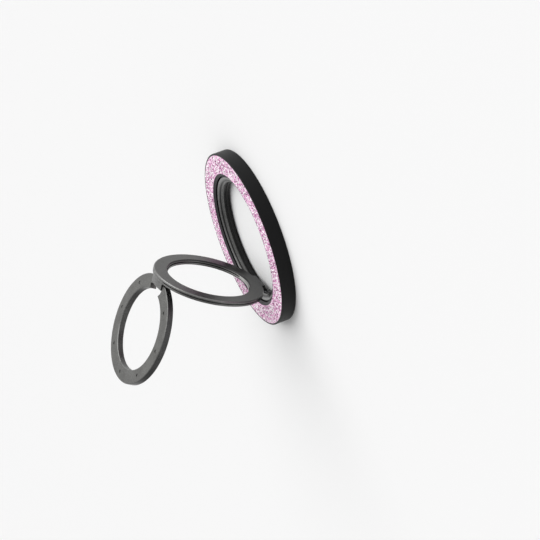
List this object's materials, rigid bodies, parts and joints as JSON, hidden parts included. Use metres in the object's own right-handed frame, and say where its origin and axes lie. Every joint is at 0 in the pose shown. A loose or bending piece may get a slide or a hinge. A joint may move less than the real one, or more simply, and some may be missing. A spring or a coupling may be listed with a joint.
{
  "type": "phone ring holder",
  "caption": "Flat round magnetic phone grip with a turning centre ring that carries an arm ring and a leg ring, hinged in a chain as a finger loop and stand.",
  "frame": {"origin": "centre of the magnet ring, on the back face that meets the phone", "axes": "+Z along the base's axis, out of the phone's back; +X along both hinge axes; -Y towards the arm's hinge, with the swivel as the picture shows it"},
  "size_m": [0.0568, 0.0603, 0.0541],
  "materials": {
    "casing_black": "matte black, finely textured",
    "glitter_pink": "pale pink and lilac glitter, sparkling",
    "cover_black": "matte black",
    "pad_black": "soft matte black silicone",
    "yoke_steel": "plain sheet steel",
    "tray_grey": "matte dark grey",
    "magnet_nickel": "bright nickel plate",
    "glide_white": "smooth white acetal",
    "friction_grey": "matte grey fibre",
    "spring_steel": "blued spring steel",
    "swivel_gunmetal": "satin gunmetal",
    "arm_gunmetal": "satin gunmetal",
    "leg_gunmetal": "satin gunmetal",
    "pin_steel": "ground steel",
    "washer_steel": "spring steel",
    "bush_brass": "plain brass"
  },
  "bodies": {
    "base": {"outer_casing": "casing_black", "glitter_face": "glitter_pink", "back_cover": "cover_black", "contact_pad": "pad_black", "magnet_yoke": "yoke_steel", "magnet_tray": "tray_grey", "magnet_array": "magnet_nickel", "glide_ring": "glide_white", "friction_ring": "friction_grey", "spring_washer": "spring_steel"},
    "swivel": {"swivel_ring": "swivel_gunmetal", "arm_hinge_pin": "pin_steel", "arm_hinge_washers": "washer_steel"},
    "arm": {"arm_hinge_bush": "bush_brass", "arm_ring": "arm_gunmetal", "leg_hinge_bush": "bush_brass", "leg_hinge_washers": "washer_steel"},
    "leg": {"leg_hinge_pin": "pin_steel", "leg_ring": "leg_gunmetal"}
  },
  "joints": [
    {"name": "swivel_turn", "type": "hinge", "parent": "base", "child": "swivel", "pos_m": [0, 0, 0], "axis": [0, 0, 1], "continuous": true},
    {"name": "arm_hinge", "type": "hinge", "parent": "swivel", "child": "arm", "pos_m": [0, -0.0182, 0.0023], "axis": [1, 0, 0], "range_deg": [-64, 16]},
    {"name": "leg_hinge", "type": "hinge", "parent": "arm", "child": "leg", "pos_m": [0, -0.00424, 0.03365], "axis": [-1, 0, 0], "range_deg": [-100, 30]}
  ]
}
